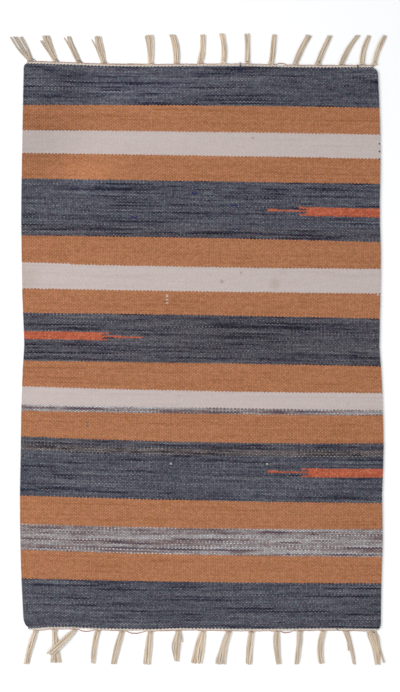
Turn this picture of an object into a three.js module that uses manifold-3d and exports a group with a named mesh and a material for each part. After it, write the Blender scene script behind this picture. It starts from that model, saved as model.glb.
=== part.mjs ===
// A kilim rug that lies flat: one woven ground and a knotted warp fringe at each end.
// Millimetres. X runs across the rug, Y along it, Z up, and the rug lies on z = 0.

import * as THREE from "three";
import Module from "manifold-3d";

const wasm = await Module();
wasm.setup();

// The woven ground, without its fringe.
const CLOTH_WIDTH = 700;
const CLOTH_LENGTH = 1092;
const CLOTH_THICKNESS = 4.5;

// How far each side edge stands outside the mean width, at distances from the top end.
const SIDE_EDGES = [
  { along: 0, left: -5, right: -6 },
  { along: 95, left: -3, right: -2 },
  { along: 180, left: -1.5, right: -0.5 },
  { along: 290, left: 0, right: -2 },
  { along: 350, left: -0.5, right: 0 },
  { along: 465, left: -2.5, right: -1 },
  { along: 545, left: -6, right: -2.5 },
  { along: 600, left: -2.5, right: 1.5 },
  { along: 680, left: 0, right: 4.5 },
  { along: 755, left: 1, right: 5.5 },
  { along: 835, left: 2.5, right: 2.5 },
  { along: 910, left: 2, right: 4 },
  { along: 990, left: 0, right: 1.5 },
  { along: 1050, left: -3, right: 0.5 },
  { along: 1092, left: -5, right: 0 },
];

// How far each end stands outside the mean length, at distances from the middle of the width.
const END_EDGES = [
  { across: -325, top: 6, bottom: -2 },
  { across: -260, top: 4, bottom: -4 },
  { across: -195, top: 1, bottom: -0.5 },
  { across: -105, top: 0, bottom: 2 },
  { across: -45, top: 0.5, bottom: -1 },
  { across: 20, top: 1, bottom: 0 },
  { across: 95, top: 1, bottom: 1 },
  { across: 175, top: -1.5, bottom: 0.5 },
  { across: 255, top: -2, bottom: -0.5 },
  { across: 325, top: -1.5, bottom: 1 },
];

const CORNER_RADIUS = { topLeft: 8, topRight: 14, bottomLeft: 22, bottomRight: 10 };

// Section of each selvedge, from the rim inwards: a cord of doubled warps, then the level ground.
const SELVEDGE = [
  { inset: 0, low: 1.1, high: 3.3 },
  { inset: 0.9, low: 0, high: 4.7 },
  { inset: 2.6, low: 0, high: 5.2 },
  { inset: 4.6, low: 0, high: 4.6 },
  { inset: 6.5, low: 0, high: CLOTH_THICKNESS },
];

// Section of each woven end, from the rim inwards, as the share of the height that is reached.
const END_RIM = [
  { inset: 0, low: 0.22, high: 0.72 },
  { inset: 1.3, low: 0, high: 1 },
];
const CORNER_ROWS = [3.5, 7, 11, 16, 22];
const MIDDLE_ROWS = 22;

// The fringe: drawn warp ends along the cloth, gathered into tassels with one knot each.
const PARTING = 0.3;
const HEADING = { width: 4, height: 2.4, bevel: 0.7 };
const KNOT = { width: 9, length: 8.5, height: 6, sides: 8, rings: 5, out: 6.5 };
const LOCK = {
  pitch: 2.25,
  height: 2.3,
  parting: 0.4,
  mostParting: 0.35, // as a share of the pitch, where the locks draw together at the knot
  rootSpread: 6.5,
  crown: 0.7, // width of the upper side as a share of the lower
  tip: 0.55, // thickness at the tip as a share of the rest
  ragged: 2.5,
  steps: 3,
};
const CARRIED_FROM = 0.5; // share of its length after which a crossing tassel is fully raised

// Tassels from left to right: where each leaves the cloth and where it ends, both from the
// middle of the width, its width and reach at the tip, how far its two halves part there, and
// how high it is carried where it crosses over its neighbour.
const TOP_TASSELS = [
  { root: -335, tip: -358, width: 16, reach: 55, fork: 2.5, carried: 0 },
  { root: -283, tip: -302, width: 14, reach: 60, fork: 0, carried: 0 },
  { root: -238, tip: -260, width: 10, reach: 60, fork: 0, carried: 0 },
  { root: -189, tip: -203, width: 17, reach: 60, fork: 0.5, carried: 0 },
  { root: -98, tip: -99, width: 15, reach: 60, fork: 0, carried: 0 },
  { root: -47, tip: -56, width: 12, reach: 60, fork: 0, carried: 0 },
  { root: 1, tip: 2, width: 15, reach: 60, fork: 0, carried: 0 },
  { root: 44, tip: 40, width: 10, reach: 60, fork: 0, carried: 0 },
  { root: 91, tip: 89, width: 9, reach: 60, fork: 0, carried: 0 },
  { root: 136, tip: 143, width: 9, reach: 60, fork: 0, carried: 0 },
  { root: 182, tip: 209, width: 14, reach: 60, fork: 0, carried: 0 },
  { root: 229, tip: 249, width: 12, reach: 60, fork: 0, carried: 0 },
  { root: 273, tip: 304, width: 14, reach: 60, fork: 0, carried: 0 },
  { root: 314, tip: 326, width: 11, reach: 60, fork: 0, carried: 0 },
  { root: 337, tip: 356, width: 8, reach: 60, fork: 0, carried: 0 },
];
const BOTTOM_TASSELS = [
  { root: -324, tip: -339, width: 12, reach: 67, fork: 0, carried: 0 },
  { root: -284, tip: -282, width: 19, reach: 67, fork: 0, carried: 0 },
  { root: -246, tip: -291, width: 16, reach: 51, fork: 0, carried: 2.8 },
  { root: -201, tip: -208, width: 12, reach: 67, fork: 0, carried: 0 },
  { root: -154, tip: -169, width: 11, reach: 67, fork: 0, carried: 0 },
  { root: -99, tip: -103, width: 15, reach: 67, fork: 0, carried: 0 },
  { root: -45, tip: -47, width: 14, reach: 64, fork: 0, carried: 0 },
  { root: 5, tip: -8, width: 22, reach: 67, fork: 0, carried: 0 },
  { root: 52, tip: 37, width: 20, reach: 67, fork: 0, carried: 0 },
  { root: 97, tip: 93, width: 14, reach: 67, fork: 0, carried: 0 },
  { root: 147, tip: 152, width: 12, reach: 67, fork: 0, carried: 0 },
  { root: 191, tip: 186, width: 9, reach: 67, fork: 0, carried: 0 },
  { root: 237, tip: 234, width: 11, reach: 67, fork: 0, carried: 0 },
  { root: 282, tip: 296, width: 9, reach: 67, fork: 0, carried: 0 },
  { root: 332, tip: 346, width: 17, reach: 67, fork: 1, carried: 0 },
];

// A named column of a table, read smoothly or straight between its rows.
function column(rows, key, name, straight = false) {
  const places = rows.map((row) => row[key]);
  const values = rows.map((row) => row[name]);
  const Interpolant = straight ? THREE.LinearInterpolant : THREE.CubicInterpolant;
  const interpolant = new Interpolant(places, values, 1);
  return (place) => interpolant.evaluate(place)[0];
}

const leftEdge = column(SIDE_EDGES, "along", "left");
const rightEdge = column(SIDE_EDGES, "along", "right");
const topEdge = column(END_EDGES, "across", "top", true);
const bottomEdge = column(END_EDGES, "across", "bottom", true);

// How far a rounded corner draws the side edge in, at a distance from the end.
function cornerInset(radius, distance) {
  const left = Math.max(radius - distance, 0);
  return radius - Math.sqrt(radius * radius - left * left);
}

// The two side edges at a distance from the top end.
function sideEdges(along) {
  const toBottom = CLOTH_LENGTH - along;
  const roundLeft =
    cornerInset(CORNER_RADIUS.topLeft, along) + cornerInset(CORNER_RADIUS.bottomLeft, toBottom);
  const roundRight =
    cornerInset(CORNER_RADIUS.topRight, along) + cornerInset(CORNER_RADIUS.bottomRight, toBottom);
  return {
    left: -CLOTH_WIDTH / 2 - leftEdge(along) + roundLeft,
    right: CLOTH_WIDTH / 2 + rightEdge(along) - roundRight,
  };
}

// A place on the cloth: along is the distance from the top end before the ends' unevenness.
function clothY(across, along) {
  const top = CLOTH_LENGTH / 2 + topEdge(across);
  const bottom = -CLOTH_LENGTH / 2 - bottomEdge(across);
  return THREE.MathUtils.lerp(top, bottom, along / CLOTH_LENGTH);
}

// The columns of the ground's grid: both selvedges and, between them, the ends' own places.
function clothColumns() {
  const left = SELVEDGE.map((step) => ({ side: "left", ...step }));
  const right = SELVEDGE.map((step) => ({ side: "right", ...step })).reverse();
  const middle = END_EDGES.map((row) => ({ across: row.across, low: 0, high: CLOTH_THICKNESS }));
  return [...left, ...middle, ...right];
}

function columnAcross(place, along) {
  const edges = sideEdges(along);
  if (place.side === "left") return edges.left + place.inset;
  if (place.side === "right") return edges.right - place.inset;
  return THREE.MathUtils.mapLinear(
    place.across, -CLOTH_WIDTH / 2, CLOTH_WIDTH / 2, edges.left, edges.right,
  );
}

// The rows of the ground's grid: a rim and the rounded corners at each end, even rows between.
function clothRows() {
  const rims = END_RIM.map((rim) => ({ along: rim.inset, low: rim.low, high: rim.high }));
  const corners = CORNER_ROWS.map((along) => ({ along, low: 0, high: 1 }));
  const top = [...rims, ...corners];
  const bottom = top.map((row) => ({ ...row, along: CLOTH_LENGTH - row.along })).reverse();
  const first = top.at(-1).along;
  const spacing = (CLOTH_LENGTH - 2 * first) / MIDDLE_ROWS;
  const middle = [];
  for (let row = 1; row < MIDDLE_ROWS; row++) {
    middle.push({ along: first + row * spacing, low: 0, high: 1 });
  }
  return [...top, ...middle, ...bottom];
}

// A closed solid through rings of points that follow each other towards +Y. Each ring runs
// anticlockwise as seen from -Y, and a ladder of faces across it closes the first and the last.
function loft(rings) {
  const count = rings[0].length;
  const index = [];
  for (let ring = 0; ring + 1 < rings.length; ring++) {
    for (let point = 0; point < count; point++) {
      const here = ring * count + point;
      const next = ring * count + ((point + 1) % count);
      index.push(here, here + count, next + count);
      index.push(here, next + count, next);
    }
  }
  const last = (rings.length - 1) * count;
  for (let rung = 0; rung + 1 < count / 2; rung++) {
    const [a, b, c, d] = [rung, rung + 1, count - 2 - rung, count - 1 - rung];
    index.push(a, b, c, a, c, d);
    index.push(last + a, last + c, last + b, last + a, last + d, last + c);
  }
  const geometry = new THREE.BufferGeometry();
  geometry.setFromPoints(rings.flat());
  geometry.setIndex(index);
  return geometry;
}

// The woven ground: one sheet with a level underside, rounded rims and a corded selvedge.
function groundGeometry() {
  const columns = clothColumns();
  const rings = clothRows().map((row) => {
    const point = (place, share, height) => {
      const across = columnAcross(place, row.along);
      return new THREE.Vector3(across, clothY(across, row.along), height(share));
    };
    const span = (place) => (share) => THREE.MathUtils.lerp(place.low, place.high, share);
    const under = columns.map((place) => point(place, row.low, span(place)));
    const upper = columns.map((place) => point(place, row.high, span(place)));
    return [...under, ...upper.reverse()];
  });
  return loft(rings.reverse());
}

// The line of a woven end, a little way outside it, as the fringe's heading follows it.
function endPoint(end, across, out) {
  const along = end > 0 ? 0 : CLOTH_LENGTH;
  return new THREE.Vector3(across, clothY(across, along) + end * out, 0);
}

// The narrow band of drawn warp ends that lies along a woven end. The loft runs across the rug
// here, so its rings are laid out along Y and the band is then turned into place.
function headingGeometry(end, tassels) {
  const { width, height, bevel } = HEADING;
  const section = [
    { out: bevel, z: 0 },
    { out: width - bevel, z: 0 },
    { out: width, z: bevel },
    { out: width, z: height - bevel },
    { out: width - bevel, z: height },
    { out: bevel, z: height },
    { out: 0, z: height - bevel },
    { out: 0, z: bevel },
  ];
  if (end > 0) section.reverse();
  const along = end > 0 ? 0 : CLOTH_LENGTH;
  const first = tassels[0].root - KNOT.width / 2;
  const last = tassels.at(-1).root + KNOT.width / 2;
  const bends = clothColumns()
    .map((place) => columnAcross(place, along))
    .filter((across) => across > first + 1 && across < last - 1);
  const stations = [first, ...bends, last];
  const rings = stations.map((across) =>
    section.map((corner) => {
      const point = endPoint(end, across, PARTING + corner.out);
      return new THREE.Vector3(-point.y, across, corner.z);
    }),
  );
  return loft(rings).rotateZ(-Math.PI / 2);
}

// A knot: an egg of warp ends that lies on the floor and is fused with the heading.
function knotGeometry(end, tassel) {
  const centre = endPoint(end, tassel.root, KNOT.out);
  const rings = [];
  for (let ring = 0; ring < KNOT.rings; ring++) {
    const turn = Math.PI * ((ring + 0.5) / KNOT.rings);
    const girth = Math.sin(turn);
    const points = [];
    for (let side = 0; side < KNOT.sides; side++) {
      const angle = (2 * Math.PI * (side + 0.5)) / KNOT.sides;
      const x = centre.x + (KNOT.width / 2) * girth * Math.cos(angle);
      const y = centre.y - (KNOT.length / 2) * Math.cos(turn);
      const z = (KNOT.height / 2) * (1 + girth * Math.sin(angle));
      points.push(new THREE.Vector3(x, y, z));
    }
    rings.push(points);
  }
  return loft(rings);
}

// How much shorter one lock is than its tassel, so that the cut ends aren't in one line.
function shortfall(tassel, lock) {
  const mixed = (lock * 3 + Math.abs(tassel.root)) % 5;
  return (LOCK.ragged * mixed) / 5;
}

// One lock of a tassel, four-sided, level on the floor from the knot to its tip.
function lockGeometry(end, tassel, lock, lockCount) {
  const root = endPoint(end, tassel.root, KNOT.out);
  const place = (lock + 0.5) / lockCount - 0.5;
  const reach = tassel.reach - KNOT.out - shortfall(tassel, lock);
  const rings = [];
  for (let step = 0; step <= LOCK.steps; step++) {
    const share = step / LOCK.steps;
    const spread = THREE.MathUtils.lerp(LOCK.rootSpread, tassel.width, share);
    const pitch = spread / lockCount;
    const taper = THREE.MathUtils.lerp(1, LOCK.tip, share ** 4);
    const half = (taper * (pitch - Math.min(LOCK.parting, LOCK.mostParting * pitch))) / 2;
    const lean = THREE.MathUtils.lerp(tassel.root, tassel.tip, share);
    const forked = Math.sign(place) * tassel.fork * share * share;
    const across = lean + place * spread + forked;
    const y = root.y + end * reach * share;
    const low = tassel.carried * THREE.MathUtils.smoothstep(share, 0, CARRIED_FROM);
    const high = low + LOCK.height * taper;
    rings.push([
      new THREE.Vector3(across - half, y, low),
      new THREE.Vector3(across + half, y, low),
      new THREE.Vector3(across + LOCK.crown * half, y, high),
      new THREE.Vector3(across - LOCK.crown * half, y, high),
    ]);
  }
  return loft(end > 0 ? rings : rings.reverse());
}

function toManifold(geometry) {
  const vertProperties = new Float32Array(geometry.attributes.position.array);
  const triVerts = new Uint32Array(geometry.index.array);
  return new wasm.Manifold(new wasm.Mesh({ numProp: 3, vertProperties, triVerts }));
}

function fromManifold(solid) {
  const { vertProperties, triVerts } = solid.getMesh();
  const geometry = new THREE.BufferGeometry();
  geometry.setAttribute("position", new THREE.BufferAttribute(vertProperties, 3));
  geometry.setIndex(new THREE.BufferAttribute(triVerts, 1));
  return geometry;
}

// One end's fringe: the heading, and on it each knot with its locks, all fused at the knots.
function fringeGeometry(end, tassels) {
  const pieces = [headingGeometry(end, tassels)];
  for (const tassel of tassels) {
    pieces.push(knotGeometry(end, tassel));
    const lockCount = Math.round(tassel.width / LOCK.pitch);
    for (let lock = 0; lock < lockCount; lock++) {
      pieces.push(lockGeometry(end, tassel, lock, lockCount));
    }
  }
  return fromManifold(wasm.Manifold.union(pieces.map(toManifold)));
}

// Matt yarn: the brown of the widest stripes for the ground, undyed cotton for the fringe.
function yarn(color) {
  return new THREE.MeshStandardMaterial({ color, roughness: 0.95, metalness: 0 });
}

function named(name, geometry, material) {
  const mesh = new THREE.Mesh(geometry, material);
  mesh.name = name;
  return mesh;
}

const rug = new THREE.Group();
rug.add(named("ground", groundGeometry(), yarn(0xa87152)));
rug.add(named("fringe_top", fringeGeometry(1, TOP_TASSELS), yarn(0xcdbea5)));
rug.add(named("fringe_bottom", fringeGeometry(-1, BOTTOM_TASSELS), yarn(0xcdbea5)));

// The origin is under the middle of everything that is built, tassels included.
const middle = new THREE.Box3().setFromObject(rug).getCenter(new THREE.Vector3());
rug.position.set(-middle.x, -middle.y, 0);

export default rug;
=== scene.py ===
# A flat kilim rug: a weft-faced cloth in cross stripes, its warp ends knotted into tassels.
# Metres. X runs across the rug, Y up the rug, Z up from the floor that it lies on.
import math
from collections import namedtuple

import bpy
import numpy as np
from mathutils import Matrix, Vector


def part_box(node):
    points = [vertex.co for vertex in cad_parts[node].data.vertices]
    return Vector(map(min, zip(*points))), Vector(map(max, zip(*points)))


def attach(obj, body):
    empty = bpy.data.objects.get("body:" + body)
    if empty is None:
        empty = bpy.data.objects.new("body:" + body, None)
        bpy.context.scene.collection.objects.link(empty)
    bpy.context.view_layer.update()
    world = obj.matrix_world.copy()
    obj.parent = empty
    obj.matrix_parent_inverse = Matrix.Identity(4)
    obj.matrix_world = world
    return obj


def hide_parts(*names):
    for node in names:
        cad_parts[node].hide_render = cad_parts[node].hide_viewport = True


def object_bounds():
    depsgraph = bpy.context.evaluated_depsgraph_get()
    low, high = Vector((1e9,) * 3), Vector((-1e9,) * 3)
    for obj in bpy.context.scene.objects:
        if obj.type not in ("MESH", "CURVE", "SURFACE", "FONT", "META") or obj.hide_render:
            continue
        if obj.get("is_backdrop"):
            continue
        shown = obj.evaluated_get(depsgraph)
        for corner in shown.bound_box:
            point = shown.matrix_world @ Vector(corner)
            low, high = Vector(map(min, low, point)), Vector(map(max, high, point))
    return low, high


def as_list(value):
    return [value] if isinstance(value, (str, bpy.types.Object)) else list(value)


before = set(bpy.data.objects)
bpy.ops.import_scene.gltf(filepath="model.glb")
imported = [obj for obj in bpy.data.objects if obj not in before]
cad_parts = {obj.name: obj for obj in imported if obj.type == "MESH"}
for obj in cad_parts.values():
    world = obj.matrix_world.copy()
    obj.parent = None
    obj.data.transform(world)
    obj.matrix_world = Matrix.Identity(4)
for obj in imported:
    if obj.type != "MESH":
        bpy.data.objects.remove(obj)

cad_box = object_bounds()


# The woven ground: cotton weft beaten so close over a strong cotton warp that only the weft
# shows. It is worked in cross stripes, each pick turns back round a corded selvedge, and three
# arrow bars are laid in by hand. The outline is that of the ground solid.
MM = 0.001
WARPS = 204
PICK = {"dark": 1.52, "brown": 1.5, "white": 1.85, "mixed": 1.62}  # from pick to pick, in mm
CLOTH_THICKNESS = 4.5 * MM
VALLEY = 0.95 * MM  # how deep the weft dips between two warps
UNDERSIDE = 0.1 * MM
BULGE = 0.31  # how far a float swells over its neighbours, in warps
UPRIGHT_RIM = 2.2 * MM  # a height at which the solid's rim is upright
CORD_RISE = (0.55 * MM, 0.25 * MM)  # of the outermost warp and the next, above the cloth

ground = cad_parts["ground"]
ground_low, ground_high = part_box("ground")

# Each stripe's yarn and its lower edge at three places across the rug, in mm above its middle.
STRIPE_PLACES = (-330, 0, 330)
STRIPES = [
    ("dark", 473.0, 472.0, 468.0),
    ("brown", 424.0, 421.0, 416.0),
    ("white", 379.5, 374.5, 369.0),
    ("brown", 330.0, 325.0, 320.0),
    ("dark", 219.0, 214.5, 207.0),
    ("brown", 165.3, 158.2, 154.5),
    ("white", 116.0, 110.5, 106.5),
    ("brown", 69.0, 64.5, 58.0),
    ("dark", -24.5, -29.0, -34.5),
    ("brown", -74.5, -83.0, -87.0),
    ("white", -110.0, -116.0, -120.5),
    ("mixed", -122.0, -127.5, -130.5),
    ("brown", -172.0, -182.5, -185.0),
    ("dark", -287.0, -296.0, -301.0),
    ("brown", -342.0, -350.0, -352.0),
    ("mixed", -392.5, -401.5, -405.5),
    ("brown", -448.0, -454.5, -457.0),
]
LAST_YARN = "dark"

# The bars run in from one side, and each starts at a place across and up the rug, in mm. A part
# covers from one pick to another, counted down from there, and from one warp to another, counted
# in from the selvedge. The last bar is where a pick turned back too soon.
BARS = [
    {
        "yarn": "orange",
        "side": 1,
        "start": (210, 274.5),
        "parts": [
            (0, 10, 0, 41),
            (0, 1, 42, 44),
            (-2, 1, 45, 45),
            (4, 5, 42, 57),
            (3, 5, 58, 63),
            (9, 10, 42, 45),
        ],
    },
    {
        "yarn": "orange",
        "side": -1,
        "start": (-192, 31.5),
        "parts": [
            (0, 9, 0, 44),
            (0, 1, 45, 48),
            (4, 5, 45, 50),
            (4, 6, 51, 55),
            (5, 6, 56, 67),
            (8, 9, 45, 47),
        ],
    },
    {
        "yarn": "orange",
        "side": 1,
        "start": (214, -233),
        "parts": [
            (0, 10, 0, 41),
            (0, 1, 42, 45),
            (4, 5, 42, 58),
            (3, 5, 59, 64),
            (9, 10, 42, 45),
        ],
    },
    {
        "yarn": "white",
        "side": -1,
        "start": (-262, 163.9),
        "parts": [(-1, -1, 0, 26)],
    },
]


def side_edge(side, up):
    """Where the solid's left (-1) or right (1) edge is, at a height up the rug."""
    return ground.ray_cast((side, up, UPRIGHT_RIM), (-side, 0, 0))[1].x


def end_edge(end, across):
    """Where the solid's upper (1) or lower (-1) end is, at a place across the rug."""
    return ground.ray_cast((across, end, UPRIGHT_RIM), (0, -end, 0))[1].y


def waves(across, up, length, seed):
    """Smooth random waves over the cloth, of about this length and between about -1 and 1."""
    draw = np.random.default_rng(seed)
    total = np.zeros_like(across)
    for _ in range(16):
        heading, phase = draw.uniform(0, math.tau, 2)
        rate = math.tau / (length * draw.uniform(0.7, 1.6))
        total += np.sin(rate * (across * math.cos(heading) + up * math.sin(heading)) + phase)
    return total / 6


# Lines between the stripes, from the upper end of the cloth to the lower one.
ROUNDING = 25 * MM  # the rounded corners lie within this of the sides and ends
JUST_INSIDE = 0.15 * MM
LAST_PICKS_DOWN = 1.1 * MM  # how far the last picks lie beyond the solid's lower end
CORNER_DOWN = 2 * MM  # and how much further they do at the left corner
even_across = np.linspace(ground_low.x, ground_high.x, WARPS + 1)
corner_up = {}
corner_across = {}
for end in (1, -1):
    for side in (-1, 1):
        outer = side_edge(side, end * (ground_high.y - 2 * ROUNDING))
        corner_up[side, end] = end_edge(end, outer - side * ROUNDING) - end * JUST_INSIDE
        corner_across[side, end] = side_edge(side, corner_up[side, end])


def end_line(end):
    left = corner_across[-1, end] + JUST_INSIDE
    right = corner_across[1, end] - JUST_INSIDE
    across = np.linspace(left, right, WARPS + 1)
    line = np.array([end_edge(end, x) for x in across])
    if end < 0:
        line -= LAST_PICKS_DOWN + CORNER_DOWN * np.exp(-(((across - left) / ROUNDING) ** 4))
    return line


def stripe_line(edges):
    curve = np.polyfit(np.array(STRIPE_PLACES) * MM, np.array(edges) * MM, 2)
    return np.polyval(curve, even_across)


lines = np.array([end_line(1), *[stripe_line(edges) for _, *edges in STRIPES], end_line(-1)])
middle_warp = WARPS // 2
stripe_yarns = [yarn for yarn, *_ in STRIPES] + [LAST_YARN]
pitches = np.array([PICK[yarn] for yarn in stripe_yarns]) * MM
picks_in_stripe = np.round(-np.diff(lines[:, middle_warp]) / pitches).astype(int)
last_picks = np.cumsum(picks_in_stripe)
PICKS = int(last_picks[-1])

# The lattice: a row for each line between two picks' crests, a column for each gap between two
# warps. A line between stripes runs half a pick below the last pick of the upper one.
row = np.arange(PICKS + 2)
knots = np.concatenate([[-0.5, 0.5], last_picks + 0.5, [PICKS + 1.5]])
heights = np.vstack([lines[0] + pitches[0], lines, lines[-1] - pitches[-1]])
lattice_up = np.array([np.interp(row, knots, heights[:, u]) for u in range(WARPS + 1)]).T

CORNER_WARPS = 30  # the warps that a rounded corner draws in
DRAWN_IN = {(-1, 1): 0.85, (1, 1): 1, (-1, -1): 0.45, (1, -1): 0.4}  # against the solid's corners
side_shift = {}
straight = {}
for side, u in ((-1, 0), (1, WARPS)):
    up = np.clip(lattice_up[:, u], corner_up[side, -1], corner_up[side, 1])
    level = np.clip(up, corner_up[side, -1] + ROUNDING, corner_up[side, 1] - ROUNDING)
    straight[side] = np.array([side_edge(side, y) for y in level])
    side_shift[side] = np.array([side_edge(side, y) for y in up]) - straight[side]
    side_shift[side] *= np.where(up > 0, DRAWN_IN[side, 1], DRAWN_IN[side, -1])
share = np.arange(WARPS + 1) / WARPS
lattice_across = straight[-1][:, None] * (1 - share) + straight[1][:, None] * share
for side, nearness in ((-1, share), (1, 1 - share)):
    drawn = np.clip(1 - nearness * WARPS / CORNER_WARPS, 0, 1) ** 2
    lattice_across += side_shift[side][:, None] * drawn

# Hand weaving isn't even: the warps wander a little and the picks are beaten down in waves.
SWAY = 0.25 * MM
BEAT = 0.3 * MM
STILL_WARPS = 8  # how near the sides they lie still
STILL_PICKS = 12  # and how near the ends
from_side = np.minimum(share, share[::-1]) * WARPS
from_end = np.minimum(row, row[::-1])
still = np.clip(from_side / STILL_WARPS, 0, 1) * np.clip(from_end / STILL_PICKS, 0, 1)[:, None]
sway = waves(lattice_across, lattice_up, 120 * MM, 3) + waves(lattice_across, lattice_up, 30 * MM, 4)
beat = waves(lattice_across, lattice_up, 70 * MM, 5) + waves(lattice_across, lattice_up, 22 * MM, 6)
lattice_across += SWAY * sway * still
lattice_up += BEAT * beat * still

# Which yarn each pick shows over each warp.
YARNS = ("dark", "brown", "white", "orange", "mixed", "navy", "umber", "faded")
chart = np.zeros((PICKS + 1, WARPS), int)
for yarn, count, last in zip(stripe_yarns, picks_in_stripe, last_picks):
    chart[last - count + 1 : last + 1] = YARNS.index(yarn)


def pick_at(across, up):
    warp = int(np.abs(lattice_across[PICKS // 2] - across * MM).argmin())
    return int(np.abs(lattice_up[:, min(warp, WARPS)] - up * MM).argmin()), min(warp, WARPS - 1)


# Not all of the dark yarn is of one dyeing. Here it is browner, or faded, from one height to
# another in the middle of the rug.
DYEINGS = [
    ("umber", 238, 206),
    ("umber", 70, -40),
    ("umber", -174, -193),
    ("faded", -193, -205),
]
for yarn, upper, lower in DYEINGS:
    some_picks = chart[pick_at(0, upper)[0] + 1 : pick_at(0, lower)[0] + 2]
    some_picks[some_picks == YARNS.index("dark")] = YARNS.index(yarn)

for bar in BARS:
    first = pick_at(*bar["start"])[0] + 1
    for upper, lower, near, far in bar["parts"]:
        warps = slice(near, far + 1) if bar["side"] < 0 else slice(WARPS - far - 1, WARPS - near)
        chart[first + upper : first + lower + 1, warps] = YARNS.index(bar["yarn"])

# Single floats and short runs of another yarn, where a thread was joined or a fibre caught: the
# place across and up the rug in mm, the yarn, and how many warps it runs over.
SLUBS = [
    (-213.5, -145, "dark", 1),
    (-213.5, -148.2, "dark", 1),
    (-154, -201, "mixed", 1),
    (-54, -223, "white", 1),
    (127, -225, "white", 1),
    (216, -361, "dark", 1),
    (171, -398, "dark", 2),
    (327, -401, "dark", 3),
    (347.5, -333, "mixed", 1),
    (-61, 105, "white", 1),
    (-61, 100, "white", 1),
    (-61, 94.5, "white", 1),
    (-61, 89, "white", 1),
    (346, 106, "white", 1),
    (350, 400, "dark", 1),
    (353, 383, "dark", 1),
    (353, 367, "dark", 1),
    (62, 281, "navy", 4),
    (-126, 255, "navy", 3),
    (66, 232, "navy", 2),
    (-9, 304, "navy", 3),
]
for across, up, yarn, warps in SLUBS:
    pick, warp = pick_at(across, up)
    pick += (pick + warp) % 2
    for step in range(warps):
        chart[pick + step % 2, warp + step] = YARNS.index(yarn)


def srgb(red, green, blue):
    """A colour as its screen values from 0 to 255, made linear for the shader."""
    shares = np.array([red, green, blue]) / 255
    return (*np.where(shares <= 0.04045, shares / 12.92, ((shares + 0.055) / 1.055) ** 2.4), 1)


def add(tree, kind, inputs=None, **settings):
    """A node in a tree, with its settings, and its inputs as values or as sockets to link."""
    node = tree.nodes.new(kind)
    for name, value in settings.items():
        setattr(node, name, value)
    for name, value in (inputs or {}).items():
        if isinstance(value, bpy.types.NodeSocket):
            tree.links.new(value, node.inputs[name])
        else:
            node.inputs[name].default_value = value
    return node


def maths(tree, operation, *values):
    return add(tree, "ShaderNodeMath", dict(enumerate(values)), operation=operation).outputs[0]


def attribute(tree, name):
    return add(tree, "ShaderNodeAttribute", attribute_name=name).outputs["Fac"]


def vector(tree, x, y, z=0.0):
    return add(tree, "ShaderNodeCombineXYZ", {"X": x, "Y": y, "Z": z}).outputs[0]


def noise(tree, place, scale=1.0, detail=2.0, roughness=0.5):
    inputs = {"Vector": place, "Scale": scale, "Detail": detail, "Roughness": roughness}
    return add(tree, "ShaderNodeTexNoise", inputs).outputs["Fac"]


def smooth_range(tree, value, low, high, top=1.0):
    """From 0 at the low value to the top at the high one."""
    inputs = {"Value": value, "From Min": low, "From Max": high, "To Max": top}
    node = add(tree, "ShaderNodeMapRange", inputs, interpolation_type="SMOOTHSTEP")
    return node.outputs["Result"]


def new_group(kind, name, inputs, outputs):
    """A node group with named sockets, its tree and its two end nodes."""
    tree = bpy.data.node_groups.new(name, kind)
    for label, socket in inputs.items():
        tree.interface.new_socket(label, in_out="INPUT", socket_type=socket)
    for label, socket in outputs.items():
        tree.interface.new_socket(label, in_out="OUTPUT", socket_type=socket)
    return tree, tree.nodes.new("NodeGroupInput"), tree.nodes.new("NodeGroupOutput")


def give(tree, made, results):
    """Link what a group makes to its outputs."""
    for label, socket in results.items():
        tree.links.new(socket, made.inputs[label])


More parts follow.
